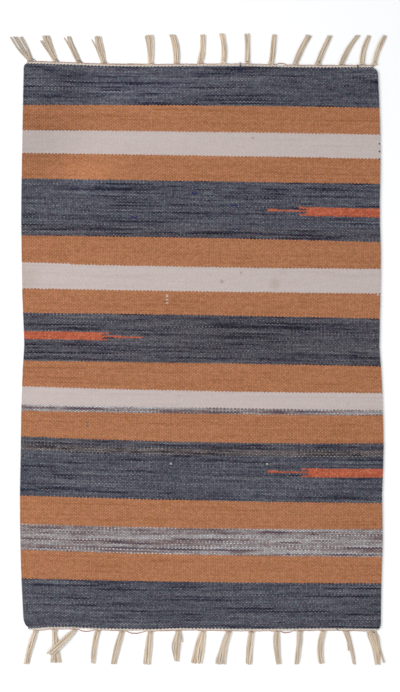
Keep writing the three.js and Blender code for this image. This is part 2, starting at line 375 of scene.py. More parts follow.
def weft_group():
    """What every weft yarn shares, read from the weave's own map: warps along it, picks up it."""
    number = "NodeSocketFloat"
    tree, given, made = new_group(
        "ShaderNodeTree",
        "weft_floats",
        dict.fromkeys(("Streak Warps", "Seed"), number),
        dict.fromkeys(("Streak", "Speck", "Tint", "Depth", "Ply", "Fibre"), number),
    )
    seed = given.outputs["Seed"]
    place = add(tree, "ShaderNodeUVMap", uv_map="Weave").outputs["UV"]
    place = add(tree, "ShaderNodeSeparateXYZ", {"Vector": place})
    along, up = place.outputs["X"], place.outputs["Y"]
    warp = maths(tree, "FLOOR", along)
    pick = maths(tree, "ROUND", up)
    aside = maths(tree, "SUBTRACT", maths(tree, "SUBTRACT", along, warp), 0.5)
    above = maths(tree, "SUBTRACT", up, pick)

    # Depth is 0 on a float's crest and 1 at its rim, and masks the painted shade between floats.
    square = maths(tree, "MULTIPLY_ADD", above, above, maths(tree, "MULTIPLY", aside, aside))
    # Where the loose attribute's patches of painted shade lie, the rim leans, as the yarn's twist tilts a
    # float.
    slack = maths(tree, "MULTIPLY", maths(tree, "MAXIMUM", attribute(tree, "loose"), 0.0), 3.2)
    lean = maths(tree, "MULTIPLY", maths(tree, "MULTIPLY", aside, above), slack)
    rim = maths(tree, "SQRT", maths(tree, "ADD", square, lean))

    # A streak follows one pick, or the two that one length of yarn made, for many warps. Now and
    # then a pair is much darker than the others.
    run = maths(tree, "DIVIDE", along, given.outputs["Streak Warps"])
    pair = maths(tree, "FLOOR", maths(tree, "MULTIPLY", pick, 0.5))
    streak = 0.0
    for picks, apart, weight, dark in ((pair, 7.31, 1.0, -0.34), (pick, 3.17, 1.3, 0)):
        place = vector(tree, run, maths(tree, "MULTIPLY", picks, apart), seed)
        cloud = noise(tree, place, detail=3.0, roughness=0.75)
        streak = maths(tree, "MULTIPLY_ADD", maths(tree, "SUBTRACT", cloud, 0.5), weight, streak)
        if dark:
            streak = maths(tree, "ADD", smooth_range(tree, cloud, 0.45, 0.36, dark), streak)

    # Every float shows its own bit of the yarn: two plies slanting across it, of fine fibres.
    place = vector(tree, warp, pick, seed)
    chance = add(tree, "ShaderNodeTexWhiteNoise", {"Vector": place}, noise_dimensions="3D")
    chance = add(tree, "ShaderNodeSeparateColor", {"Color": chance.outputs["Color"]})
    slant = maths(tree, "ADD", maths(tree, "MULTIPLY", aside, 7.5), maths(tree, "MULTIPLY", above, 15))
    ply = maths(tree, "ADD", maths(tree, "SINE", slant), 1.0)
    fine = vector(tree, maths(tree, "MULTIPLY", along, 2.5), maths(tree, "MULTIPLY", up, 9.0))
    results = {
        "Streak": streak,
        "Speck": chance.outputs["Red"],
        "Tint": chance.outputs["Green"],
        "Depth": smooth_range(tree, rim, 0.18, 0.58),
        "Ply": maths(tree, "MULTIPLY", ply, 0.5),
        "Fibre": noise(tree, fine),
    }
    give(tree, made, results)
    return tree


def new_material(name):
    material = bpy.data.materials.new(name)
    material.use_nodes = True
    tree = material.node_tree
    tree.nodes.clear()
    shader = tree.nodes.new("ShaderNodeBsdfPrincipled")
    output = tree.nodes.new("ShaderNodeOutputMaterial")
    tree.links.new(shader.outputs["BSDF"], output.inputs["Surface"])
    return material, tree, shader


def tint_mix(tree, share, first, second, blend="MIX"):
    """One colour over another, by a share of 0 to 1."""
    node = add(tree, "ShaderNodeMix", data_type="RGBA", blend_type=blend)
    for index, value in ((0, share), (6, first), (7, second)):
        if isinstance(value, bpy.types.NodeSocket):
            tree.links.new(value, node.inputs[index])
        else:
            node.inputs[index].default_value = value
    return node.outputs[2]


def grey(tree, share):
    """A number as a colour."""
    inputs = dict.fromkeys(("Red", "Green", "Blue"), share)
    return add(tree, "ShaderNodeCombineColor", inputs).outputs[0]


def tone_ramp(tree, tone, tones):
    """A colour by its tone, between those at some places from dark to light."""
    ramp = add(tree, "ShaderNodeValToRGB", {"Fac": tone})
    stops = ramp.color_ramp.elements
    for place, _ in tones[1:-1]:
        stops.new(place)
    for stop, (place, colour) in zip(stops, tones):
        stop.position = place
        stop.color = srgb(*colour)
    return ramp.outputs["Color"]


# Each weft yarn: its tones from the darkest to the lightest, how far they change from float to
# float (speck), from ply to ply and along the picks (streak, with its length in warps), how dark
# the painted shade in the gaps between its floats is, and fibres of other colours spun into it.
WEFT = {
    "dark": {
        "tones": [(0, (26, 26, 50)), (0.35, (69, 70, 88)), (0.65, (110, 112, 122)), (1, (153, 155, 161))],
        "speck": 0.3, "ply": 0.3, "streak": 1.0, "streak_warps": 80, "gap_shade": 0.95,
        "tints": [(0.86, (88, 112, 112)), (0.14, (112, 90, 104))],
    },
    "umber": {
        "tones": [(0, (27, 24, 45)), (0.35, (70, 68, 84)), (0.65, (111, 109, 117)), (1, (154, 151, 156))],
        "speck": 0.3, "ply": 0.3, "streak": 1.0, "streak_warps": 80, "gap_shade": 0.95,
        "tints": [(0.86, (92, 110, 106)), (0.14, (114, 90, 98))],
    },
    "faded": {
        "tones": [(0, (42, 34, 46)), (0.35, (86, 82, 88)), (0.65, (132, 125, 126)), (1, (180, 171, 166))],
        "speck": 0.3, "ply": 0.3, "streak": 1.1, "streak_warps": 50, "gap_shade": 0.95,
        "tints": [(0.84, (132, 112, 92)), (0.14, (124, 96, 84))],
    },
    "brown": {
        "tones": [(0.0, (150, 92, 56)), (0.5, (186, 123, 83)), (1.0, (218, 156, 114))],
        "speck": 0.3, "ply": 0.3, "streak": 0.4, "streak_warps": 90, "gap_shade": 0.62,
        "tints": [(0.84, (204, 132, 112)), (0.16, (150, 108, 62))],
    },
    "white": {
        "tones": [(0.0, (177, 163, 159)), (0.5, (190, 177, 173)), (1.0, (203, 191, 187))],
        "speck": 0.2, "ply": 0.2, "streak": 0.35, "streak_warps": 90, "gap_shade": 0.12,
        "tints": [],
    },
    "orange": {
        "tones": [(0.0, (150, 68, 44)), (0.5, (188, 96, 66)), (1.0, (218, 132, 100))],
        "speck": 0.5, "ply": 0.2, "streak": 0.4, "streak_warps": 30, "gap_shade": 0.45,
        "tints": [(0.85, (198, 92, 84)), (0.12, (170, 96, 50))],
    },
    "mixed": {
        "tones": [(0, (86, 74, 89)), (0.35, (132, 109, 106)), (0.6, (174, 169, 170)), (1, (229, 227, 229))],
        "speck": 0.2, "ply": 0.2, "streak": 1.05, "streak_warps": 80, "gap_shade": 0.75,
        "tints": [(0.9, (112, 136, 146)), (0.08, (146, 96, 100))],
    },
    "navy": {
        "tones": [(0.0, (24, 26, 70)), (0.5, (38, 44, 104)), (1.0, (58, 66, 128))],
        "speck": 0.4, "ply": 0.2, "streak": 0.3, "streak_warps": 30, "gap_shade": 0.6,
        "tints": [],
    },
}
DUST = (0.52, 0.44, 0.26, 1)
GAP_SHADE = (0.12, 0.1, 0.1, 1)
weft_floats = weft_group()


def weft_material(yarn, number):
    kind = WEFT[yarn]
    material, tree, shader = new_material(f"{yarn}_weft")
    weave = add(tree, "ShaderNodeGroup", node_tree=weft_floats)
    weave.inputs["Streak Warps"].default_value = kind["streak_warps"]
    weave.inputs["Seed"].default_value = 11.7 * number
    tone = maths(tree, "MULTIPLY_ADD", weave.outputs["Streak"], kind["streak"], 0.5)
    for share in ("Speck", "Ply"):
        centred = maths(tree, "SUBTRACT", weave.outputs[share], 0.5)
        tone = maths(tree, "MULTIPLY_ADD", centred, kind[share.lower()], tone)

    colour = tone_ramp(tree, tone, kind["tones"])
    for limit, tint in kind["tints"]:
        side = "GREATER_THAN" if limit > 0.5 else "LESS_THAN"
        there = maths(tree, "MULTIPLY", maths(tree, side, weave.outputs["Tint"], limit), 0.3)
        colour = tint_mix(tree, there, colour, srgb(*tint))

    # Dust where the cloth is stained, and painted shade with some dirt deep between the floats, most in the
    # patches of painted shade. Single fibres catch the light.
    colour = tint_mix(tree, attribute(tree, "soiled"), colour, DUST, "MULTIPLY")
    # The loose attribute carries the patches of painted shade (above 0) and painted light (below 0).
    loose = attribute(tree, "loose")
    open_gap = maths(tree, "MULTIPLY_ADD", loose, kind["gap_shade"], kind["gap_shade"])
    deep = add(tree, "ShaderNodeMath", {0: weave.outputs["Depth"], 1: open_gap}, operation="MULTIPLY")
    deep.use_clamp = True
    colour = tint_mix(tree, deep.outputs[0], colour, GAP_SHADE, "MULTIPLY")
    fine = maths(tree, "MULTIPLY_ADD", weave.outputs["Fibre"], 0.3, 0.85)
    # Painted shade and painted light from those patches, over whole floats.
    shade = maths(tree, "MULTIPLY_ADD", loose, -0.35, 1.0)
    shade = grey(tree, maths(tree, "MULTIPLY", fine, shade))
    colour = tint_mix(tree, 1.0, colour, shade, "MULTIPLY")
    tree.links.new(colour, shader.inputs["Base Color"])

    rough = maths(tree, "MULTIPLY_ADD", weave.outputs["Fibre"], 0.15, 0.82)
    tree.links.new(rough, shader.inputs["Roughness"])
    shader.inputs["Specular IOR Level"].default_value = 0.25
    shader.inputs["Sheen Weight"].default_value = 0.12
    shader.inputs["Sheen Roughness"].default_value = 0.5
    raised = maths(tree, "MULTIPLY_ADD", weave.outputs["Fibre"], 0.5, weave.outputs["Ply"])
    bump = add(tree, "ShaderNodeBump", {"Strength": 0.5, "Distance": 0.12 * MM, "Height": raised})
    tree.links.new(bump.outputs["Normal"], shader.inputs["Normal"])
    return material


weft_materials = {yarn: weft_material(yarn, n) for n, yarn in enumerate(YARNS)}

# Soft patches of painted shade (more than 0) and painted light (less than 0), and small stains:
# the middle and the radius across and up the rug, in mm, and how much.
LIGHT_AND_SHADE_PATCHES = [
    ((-315, 408), (85, 60), 0.42),
    ((-250, 514), (35, 35), 0.3),
    ((-130, 505), (110, 38), -0.2),
    ((-60, 515), (330, 34), -0.2),
    ((-221, 337), (60, 50), -0.3),
    ((170, 514), (110, 45), 0.14),
    ((-345, 260), (40, 50), 0.1),
    ((22, 24), (75, 36), 0.2),
    ((150, 18), (60, 36), 0.15),
    ((310, -240), (110, 60), 0.05),
    ((330, -505), (60, 45), 0.12),
    ((-62, -314), (2, 2), -0.9),
]
SOILED = [
    ((-333, 135), (20, 24), 0.2),
    ((148, 125), (9, 12), 0.28),
    ((164, 150), (11, 8), 0.14),
    ((45, 130), (3, 3), 0.8),
    ((82, 147), (2, 2), 0.8),
    ((23, 143), (2, 1.5), 0.35),
    ((65, 333), (2, 1.5), 0.7),
    ((105, 409), (2, 2), 0.7),
    ((291, -107), (2, 2), 0.4),
    ((-37, -92.5), (2, 1.5), 0.3),
]


def patches(table, points):
    """How much of the patches in a table there is at each point."""
    total = np.zeros(len(points))
    for middle, radius, much in table:
        away = (points[:, :2] / MM - middle) / radius
        total += much * np.exp(-(away**2).sum(axis=1))
    return total


# Heights: crests over the warps, valleys between them, and the cord at each selvedge.
crest = np.full(WARPS, CLOTH_THICKNESS)
valley = np.full(WARPS + 1, CLOTH_THICKNESS - VALLEY)
for place, rise in enumerate(CORD_RISE):
    crest[[place, WARPS - 1 - place]] += rise
    valley[[place, WARPS - place]] += rise / 2
HALF = CLOTH_THICKNESS / 2
TURN_OUT = 0.4 * MM  # how far every second turn of the weft stands out from the others
RIM_IN = 0.6 * MM  # how far the faces' sides lie in from the turns
END_OUT = 0.3 * MM  # how far the middle line of the cloth's ends stands out
FLOAT_ON_MAP = 0.98  # how much of its own square a float takes on the weave's map
TURN_ON_MAP = {"near": 0.3, "far": 0.49, "half": 0.45}  # from a float's middle, in its square
UPPER, LOWER, MIDDLE, CRESTS = range(4)  # the blocks of a band's points
ABOVE, BELOW, AT_LEFT, AT_RIGHT, AT_TOP, AT_BOTTOM = range(6)  # where on a band a face is

# The crests of the floats, one over every warp and under the next.
UNEVEN = 0.07 * MM
draw = np.random.default_rng(21)
jitter = draw.normal(0, 1, (3, PICKS + 2, WARPS))
crest_across = (lattice_across[:, :-1] + lattice_across[:, 1:]) / 2 + UNEVEN * jitter[0]
crest_up = (lattice_up[:, :-1] + lattice_up[:, 1:]) / 2 + UNEVEN * jitter[1]
uneven = UNEVEN * np.clip(jitter[2], -2, 2)
even_float = (row[:, None] + np.arange(WARPS)) % 2 == 0
crest_height = np.where(even_float, crest[None, :] + uneven, np.abs(uneven))

# The lattice's points stand aside for the float that is fattest there.
even_point = (row[:, None] + np.arange(WARPS + 1)) % 2 == 0
pitch = np.gradient(lattice_across, axis=1)
aside = np.where(even_point, -BULGE, BULGE) * pitch
aside[:, [0, -1]] = 0


def point_values(mesh, label, values):
    """An attribute that the materials read, with a value for each point."""
    column = mesh.attributes.new(label, "FLOAT", "POINT")
    column.data.foreach_set("value", values.astype(np.float32))


def triangle_mesh(name, points, faces):
    mesh = bpy.data.meshes.new(name)
    mesh.vertices.add(len(points))
    mesh.vertices.foreach_set("co", points.astype(np.float32).ravel())
    mesh.loops.add(faces.size)
    mesh.loops.foreach_set("vertex_index", faces.astype(np.int32).ravel())
    mesh.polygons.add(len(faces))
    mesh.polygons.foreach_set("loop_start", np.arange(0, faces.size, 3, dtype=np.int32))
    mesh.update(calc_edges=True)
    return mesh


def put_in_scene(name, data):
    item = bpy.data.objects.new(name, data)
    bpy.context.scene.collection.objects.link(item)
    return item


def on_map(pick, warp, corner):
    """A corner of a float on the weave's map."""
    return warp + 0.5 + (corner[0] - 0.5) * FLOAT_ON_MAP, pick + corner[1] * FLOAT_ON_MAP / 2


# Each of these makes a band's triangles in groups: the numbers of their corners, the pick and the
# warp that they belong to, where on the band they are, and their places on the weave's map.
def float_faces(index, first, last):
    """Above, six faces round each crest. On the flat underside, four from one corner."""
    ring = [(0, -1), (0, 0), (0, 1), (1, 1), (1, 0), (1, -1)]
    pick, warp = np.meshgrid(np.arange(first, last + 1), np.arange(WARPS), indexing="ij")
    over = (pick + warp) % 2 == 0
    r, u = pick[over], warp[over]
    for a, b in zip(ring, ring[1:] + ring[:1]):
        corners = [index(UPPER, r + up, u + across) for across, up in (a, b)]
        place = [(u + 0.5, r), on_map(r, u, a), on_map(r, u, b)]
        yield [index(CRESTS, r, u), *corners], r, u, ABOVE, place
    r, u = pick[~over], warp[~over]
    for a, b in zip(ring[1:-1], ring[2:]):
        turned = (ring[0], b, a)
        corners = [index(LOWER, r + up, u + across) for across, up in turned]
        yield corners, r, u, BELOW, [on_map(r, u, corner) for corner in turned]


def turn_faces(index, first, last):
    """Where the weft turns back at each selvedge: four faces round each point half way up."""
    rows = np.arange(first - 1, last + 1)
    for side, column, warp, kind in ((-1, 0, 0, AT_LEFT), (1, WARPS, WARPS - 1, AT_RIGHT)):
        over = np.where((rows + warp) % 2 == 0, rows, rows + 1)
        under = 2 * rows + 1 - over
        turn = index(MIDDLE, rows, column)
        t0, t1 = index(UPPER, rows, column), index(UPPER, rows + 1, column)
        b0, b1 = index(LOWER, rows, column), index(LOWER, rows + 1, column)
        quarters = ((t1, t0, over), (b0, b1, under), (t0, b0, rows), (b1, t1, rows + 1))
        for start, stop, pick in quarters:
            here = (pick >= first) & (pick <= last)
            corners = [turn[here], start[here], stop[here]]
            if side > 0:
                corners = [corners[0], corners[2], corners[1]]
            near = warp + 0.5 + side * TURN_ON_MAP["near"]
            far = warp + 0.5 + side * TURN_ON_MAP["far"]
            pick, half = pick[here], TURN_ON_MAP["half"]
            place = [(far, pick), (near, pick - half), (near, pick + half)]
            yield corners, pick, warp, kind, place


def cut_faces(index, first, last):
    """Where a band ends the cloth is cut between two picks, along their teeth."""
    for row, pick, kind in ((first - 1, first, AT_TOP), (last, last, AT_BOTTOM)):
        u = np.arange(WARPS)
        top = np.where((u + row) % 2 == 0, row + 1, row)
        under = 2 * row + 1 - top
        m0, m1 = index(MIDDLE, row, u), index(MIDDLE, row, u + 1)
        cut = []
        for block, level in ((UPPER, top), (LOWER, under)):
            e0, e1 = index(block, level, u), index(block, level, u + 1)
            cut += [(block, corners, u) for corners in ((e0, m0, m1), (e0, m1, e1))]
        u = np.arange(1, WARPS)
        for block in (UPPER, LOWER):
            lowest, highest = index(block, row, u), index(block, row + 1, u)
            rising = (u + row + block) % 2 == 0
            start = np.where(rising, lowest, highest)
            stop = np.where(rising, highest, lowest)
            cut.append((block, (start, index(MIDDLE, row, u), stop), u))
        for block, corners, u in cut:
            if (block == LOWER) != (kind == AT_TOP):
                corners = corners[::-1]
            yield corners, pick, np.minimum(u, WARPS - 1), kind, [(u, pick)] * 3


def band(name, first, last):
    """The cloth from one pick to another as a closed piece, with both its faces."""
    rows = np.arange(first - 1, last + 2)
    size = (len(rows), WARPS + 1)
    span = slice(first - 1, last + 2)
    across, up = lattice_across[span], lattice_up[span]
    shift = aside[span]
    upper = np.stack([across + shift, up, np.broadcast_to(valley, size)], axis=-1)
    lower = np.stack([across - shift, up, np.full(size, UNDERSIDE)], axis=-1)

    # Points half way up the edge, between two rows: the weft's turns and the cuts' middle line.
    mid_across = (across[:-1] + across[1:]) / 2
    mid_up = (up[:-1] + up[1:]) / 2
    mid = np.stack([mid_across, mid_up, np.full(mid_up.shape, HALF)], axis=-1)
    stands = TURN_OUT * (rows[:-1] % 2)
    mid[:, 0, 0] += stands
    mid[:, -1, 0] -= stands
    for sheet in (upper, lower):
        sheet[:, 0, 0] += RIM_IN
        sheet[:, -1, 0] -= RIM_IN
    if first == 1:
        mid[0, :, 1] += END_OUT
    if last == PICKS:
        mid[-1, :, 1] -= END_OUT
    crests = np.stack([crest_across[span], crest_up[span], crest_height[span]], axis=-1)

    blocks = [block.reshape(-1, 3) for block in (upper, lower, mid, crests)]
    starts = np.cumsum([0] + [len(block) for block in blocks])
    points = np.concatenate(blocks)

    def index(block, row, column):
        width = WARPS if block == CRESTS else WARPS + 1
        return starts[block] + (row - first + 1) * width + column

    faces, picks, warps, kinds, places = ([] for _ in range(5))
    for make in (float_faces, turn_faces, cut_faces):
        for corners, pick, warp, kind, place in make(index, first, last):
            shape = np.shape(corners[0])
            faces.append(np.stack(corners, axis=-1).reshape(-1, 3))
            for column, value in ((picks, pick), (warps, warp), (kinds, kind)):
                column.append(np.broadcast_to(value, shape).reshape(-1))
            spots = [np.broadcast_to(value, shape).reshape(-1) for pair in place for value in pair]
            places.append(np.stack(spots, axis=-1).reshape(-1, 3, 2))

    picks, warps, kinds, places = map(np.concatenate, (picks, warps, kinds, places))
    used, faces = np.unique(np.concatenate(faces), return_inverse=True)
    faces = faces.reshape(-1, 3)
    points = points[used]
    centre = used >= starts[CRESTS]
    turns = (used >= starts[MIDDLE]) & (used < starts[CRESTS])
    column = (used - starts[MIDDLE]) % (WARPS + 1)
    centre |= turns & ((column == 0) | (column == WARPS))
    mesh = triangle_mesh(name, points, faces)

    # Every float is smooth by itself, with a crease where it meets the next.
    ends = np.zeros(len(mesh.edges) * 2, np.int32)
    mesh.edges.foreach_get("vertices", ends)
    crease = ~centre[ends.reshape(-1, 2)].any(axis=1)
    mesh.shade_smooth()
    mesh.attributes.new("sharp_edge", "BOOLEAN", "EDGE").data.foreach_set("value", crease)
    # The loose attribute carries the patches of painted shade and painted light; soiled, the stains.
    for label, table in (("loose", LIGHT_AND_SHADE_PATCHES), ("soiled", SOILED)):
        point_values(mesh, label, patches(table, points))

    yarns = chart[picks, warps]
    worn = sorted(set(yarns.tolist()))
    for yarn in worn:
        mesh.materials.append(weft_materials[YARNS[yarn]])
    mesh.polygons.foreach_set("material_index", np.searchsorted(worn, yarns).astype(np.int32))
    weave = mesh.uv_layers.new(name="Weave")
    weave.data.foreach_set("uv", places.astype(np.float32).ravel())
    mesh.uv_layers.new(name="OFBake").data.foreach_set("uv", bake_places(points, faces, kinds).ravel())
    return put_in_scene(name, mesh)


MARGIN = 0.01  # round the parts of the flat layout, as a share of its width
STRIP = 0.012  # the width of an edge's strip there
FAN = 0.6  # how far the faces of the cuts are spread in theirs


def bake_places(points, faces, kinds):
    """A flat layout of a band's faces: upper side, underside, and the edges in narrow strips."""
    low, high = points.min(axis=0), points.max(axis=0)
    scale = (1 - 2 * MARGIN) / (high[0] - low[0])
    corner = points[faces]
    x = (corner[..., 0] - low[0]) * scale + MARGIN
    y = (corner[..., 1] - low[1]) * scale + MARGIN
    z = corner[..., 2] * scale
    depth = (high[1] - low[1]) * scale + MARGIN
    ends = x + (corner[..., 1] - corner[..., 1].mean(axis=1, keepdims=True)) * scale * FAN
    across = [x, x, y, y, ends, ends]
    along = [y, y - MARGIN + depth] + [z + 2 * depth + MARGIN + n * STRIP for n in range(4)]
    kinds = kinds[:, None]
    place = [np.choose(kinds, across), np.choose(kinds, along)]
    return np.stack(place, axis=-1).astype(np.float32)


# A piece for so many stripes, cut where the yarn changes, so that each keeps a fair size.
BANDS = [
    ("ground_1", 4),
    ("ground_2", 2),
    ("ground_3", 3),
    ("ground_4", 4),
    ("ground_5", 3),
    ("ground_6", 2),
]
bands = []
stripe = 0
first_pick = 1
for name, stripes in BANDS:
    stripe += stripes
    last_pick = int(last_picks[stripe - 1])
    bands.append(band(name, first_pick, last_pick))
    first_pick = last_pick + 1


# The knotted fringe: each warp end runs on out of the cloth, turns along its edge to the nearest
# knot and hangs loose beyond it with its neighbours, of soft undyed cotton in two plies. A thin
# brown tie thread runs along the edge from knot to knot. All sizes here are in millimetres.
CLOTH_MIDDLE = 4.2  # of the cloth's width, in this frame
GIRTH = {"drawn": 0.55, "knotted": 0.66, "loose": 0.76}  # radius of a yarn
LANE = {"nearest": 0.9, "step": 0.35, "lowest": 0.6, "layer": 0.9}  # along the cloth's edge
KNOT = {"out": 6.5, "middle": 2.6, "half_height": 1.3}
WRAP = {"strands": 3, "turns": 1.25, "past": 0.7, "half_height": 1.9, "step": 1.45}
WRAP |= {"girth": 0.72, "lowest": 0.62, "size": (0.92, 1.1), "slant": (1.4, 2.6)}
TUCK = {"from": 0.45, "over": 0.17, "in": 0.35, "down": 0.25}  # of a strand's ends, under the knot
THICK = {"knot": 3.3, "tip": 1.9}  # of a tassel, beyond its knot and at its tip
HEADING = {"rows": (0.5, 2.0), "sway": (0.65, 0.15), "girth": 0.8, "height": 2.5, "dip": 0.4}
TIE = {"out": 4.1, "height": 2.2, "girth": 0.5, "over_knot": 5.3}
BEYOND_KNOT = (0.12, 0.26, 0.42, 0.58, 0.74, 0.88, 1.0)  # shares of a tassel's length
RAGGED = 2.2  # how much shorter some yarns are than their tassel
IN_CLOTH = 2.2  # the height at which the warp ends come out of the cloth
MIXED_UP = 7  # how near to half way between two knots a warp may go to either
YARN_SIDES = 6
ABOVE_FLOOR = 0.02  # the least gap under a yarn

# Each tassel's middle line, where it leaves the cloth, half way and at its tip, from the middle
# of the cloth's width; how wide it is near the knot, half way and at its tip; its reach; how much
# darker than the others it is (lighter below 0); how far it forks; how high it is carried over its
# neighbour; and half the width of its knot.
Tassel = namedtuple("Tassel", "line wide reach dull fork carried knot", defaults=(0, 0, 0, 4.4))
TOP_TASSELS = [
    Tassel((-333, -347, -360), (16, 24, 21), 53, dull=0.3, fork=2),
    Tassel((-283, -294, -302), (11, 15, 17), 56, dull=0.11),
    Tassel((-238, -249, -258), (12, 13, 11), 56, dull=0.18),
    Tassel((-189, -196, -201), (12, 16, 16), 59, dull=0.09),
    Tassel((-98, -98, -101), (12, 15, 17), 62, dull=-0.06),
    Tassel((-48, -49, -57), (13, 13, 14), 62),
    Tassel((-2, 3, 3), (13, 11, 13), 62, dull=-0.11),
    Tassel((43, 45, 40), (12, 10, 12), 64, dull=-0.17),
    Tassel((90, 90, 89), (11, 11, 11), 64),
    Tassel((136, 140, 143), (11, 11, 11), 63, dull=-0.05),
    Tassel((183, 195, 210), (11, 11, 12), 63, dull=0.08),
    Tassel((227, 238, 251), (12, 11, 11), 63, dull=0.11),
    Tassel((273, 286, 305), (11, 11, 11), 63, dull=0.12),
    Tassel((313, 317, 327), (11, 10, 7), 63),
    Tassel((337, 345, 357), (11, 10, 9), 63),
]
BOTTOM_TASSELS = [
    Tassel((-322, -333, -341), (14, 13, 14), 70),
    Tassel((-285, -284, -282), (10, 13, 19), 70, dull=0.08, fork=2),
    Tassel((-246, -270, -293), (14, 18, 19), 53, dull=0.12, carried=2.8),
    Tassel((-201, -207, -209), (12, 11, 11), 70),
    Tassel((-154, -163, -170), (12, 13, 13), 70, dull=0.08),
    Tassel((-99, -102, -104), (12, 15, 16), 70, dull=0.03),
    Tassel((-44, -47, -47), (13, 21, 10), 65, dull=0.08),
    Tassel((4, -3, -8), (15, 22, 24), 69, dull=-0.04),
    Tassel((54, 44, 38), (13, 15, 21), 70, dull=0.13),
    Tassel((98, 94, 93), (12, 17, 14), 70, dull=0.03),
    Tassel((147, 148, 152), (13, 14, 11), 70, dull=0.08),
    Tassel((192, 190, 186), (12, 12, 11), 70, dull=0.08),
    Tassel((238, 232, 235), (12, 13, 12), 70),
    Tassel((282, 291, 298), (14, 10, 7), 70, dull=0.05),
    Tassel((332, 341, 345), (25, 17, 15), 70, dull=0.04, knot=9),
]

# Yarns that stray from a tassel: at which end and tassel, how many, from which share of its
# length, how far aside at the tip and how much shorter they end.
STRAYS = [
    (1, 2, 3, 0.35, -4, 9),
    (1, 3, 2, 0.6, -4, 2),
    (1, 4, 2, 0.5, -5, 7),
    (-1, 1, 1, 0.0, 4, 48),
    (-1, 7, 1, 0.1, 8, 36),
    (-1, 14, 2, 0.05, -8, 26),
    (-1, 15, 2, 0.5, 5, 4),
]

# Where the tie thread sags away from the edge: from one place to another from the middle, and by
# how much.
SAGS = {
    1: [(145, 168, 3.0)],
    -1: [(-240, -208, 4.2), (-148, -108, 4.8), (152, 178, 4.0)],
}


def part_way(places, share):
    """A value along a tassel from those at its root, half way and at its tip."""
    root, middle, tip = places
    return root + (tip - root) * share + (root - 2 * middle + tip) * 2 * share * (share - 1)


def smooth_lines(controls, steps):
    """Smooth lines through rows of points, with as many steps between each two points."""
    first = 2 * controls[:, :1] - controls[:, 1:2]
    last = 2 * controls[:, -1:] - controls[:, -2:-1]
    padded = np.concatenate([first, controls, last], axis=1)
    p0, p1, p2, p3 = (padded[:, n : n + controls.shape[1] - 1] for n in range(4))
    parts = []
    for t in np.arange(steps) / steps:
        bend = 2 * p0 - 5 * p1 + 4 * p2 - p3
        turn = 3 * p1 - p0 - 3 * p2 + p3
        parts.append(0.5 * (2 * p1 + (p2 - p0) * t + bend * t**2 + turn * t**3))
    between = np.stack(parts, axis=2).reshape(len(controls), -1, controls.shape[2])
    return np.concatenate([between, controls[:, -1:]], axis=1)


def end_up(end, across):
    """How far up the rug its woven end lies, at places across it."""
    line = lines[0] if end > 0 else lines[-1]
    left, right = (corner_across[side, end] / MM for side in (-1, 1))
    return np.interp(across, np.linspace(left, right, WARPS + 1), line / MM)


def along_edge(end, across, out, height):
    """Points at a distance out from a woven end."""
    across, out, height = np.broadcast_arrays(across, out, height)
    return np.stack([across, end_up(end, across) + end * out, height], axis=-1)


